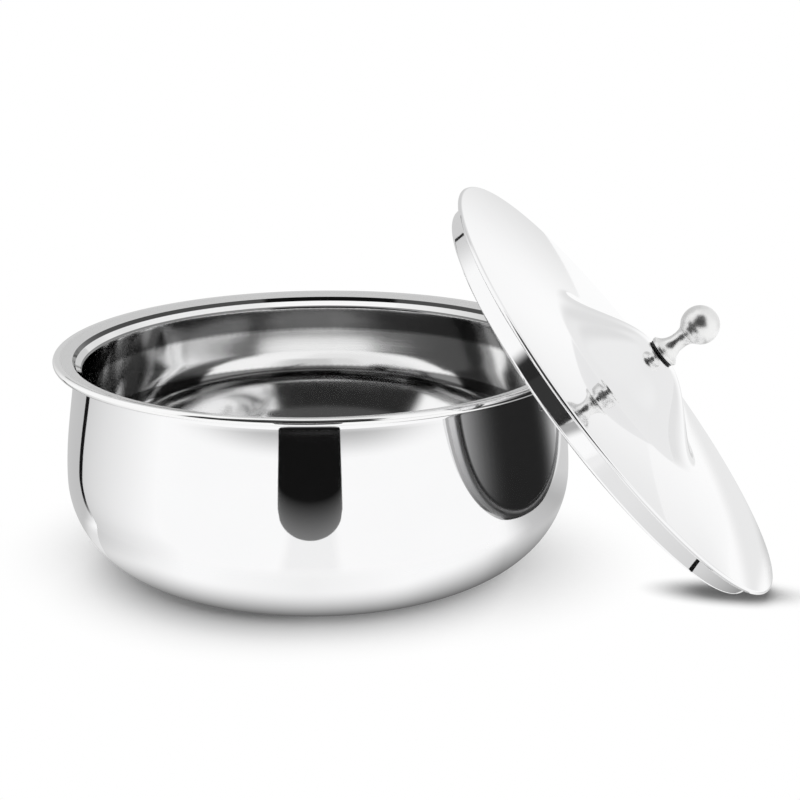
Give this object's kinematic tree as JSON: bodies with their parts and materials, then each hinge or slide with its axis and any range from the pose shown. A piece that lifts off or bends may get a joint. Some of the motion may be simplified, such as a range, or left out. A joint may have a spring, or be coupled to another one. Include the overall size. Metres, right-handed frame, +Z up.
{
  "type": "insulated serving casserole",
  "caption": "Round double-walled steel serving pot with an insulated lift-off lid, shown open with the lid leaning on its rim; bellied body, rolled rim, domed lid with a ball knob",
  "frame": {"origin": "the centre of the pot's base plate, on the table", "axes": "+Z up along the pot's axis; +X from the pot towards the leaning lid; the knob lies in the XZ plane, so +Y and -Y are mirror images"},
  "size_m": [0.3166, 0.23, 0.1662],
  "materials": {
    "polished_steel": "mirror-polished stainless steel sheet",
    "satin_steel": "satin stainless steel",
    "plated_steel": "dull zinc plate",
    "foam": "matt rigid foam",
    "dark_rubber": "matt black",
    "grey_plastic": "matt grey"
  },
  "bodies": {
    "pot": {"outer_shell": "polished_steel", "inner_bowl": "polished_steel", "pot_insulation": "foam", "base_plate": "satin_steel", "base_fill_plug": "dark_rubber", "base_vent_plug": "dark_rubber"},
    "knob": {"knob_ball": "satin_steel"},
    "lid": {"lid_cover": "polished_steel", "lid_inner_cover": "polished_steel", "lid_insulation": "foam", "lid_fill_plug": "grey_plastic", "knob_seat_ring": "dark_rubber", "knob_stem": "satin_steel", "knob_stud": "plated_steel", "stud_washer": "plated_steel", "stud_lock_washer": "plated_steel", "stud_nut": "plated_steel"}
  },
  "joints": [
    {"name": "lid_carry", "type": "hinge", "parent": "pot", "child": "knob", "pos_m": [0.08277, 0, 0.12509], "axis": [0, -1, 0], "range_deg": [0, 180]},
    {"name": "lid_level", "type": "hinge", "parent": "knob", "child": "lid", "pos_m": [0.16554, 0, 0.11131], "axis": [0, -1, 0], "range_deg": [-129.9, 0]}
  ],
  "couplings": [
    {"joint": "lid_level", "follows": "lid_carry", "ratio": -0.72167}
  ]
}
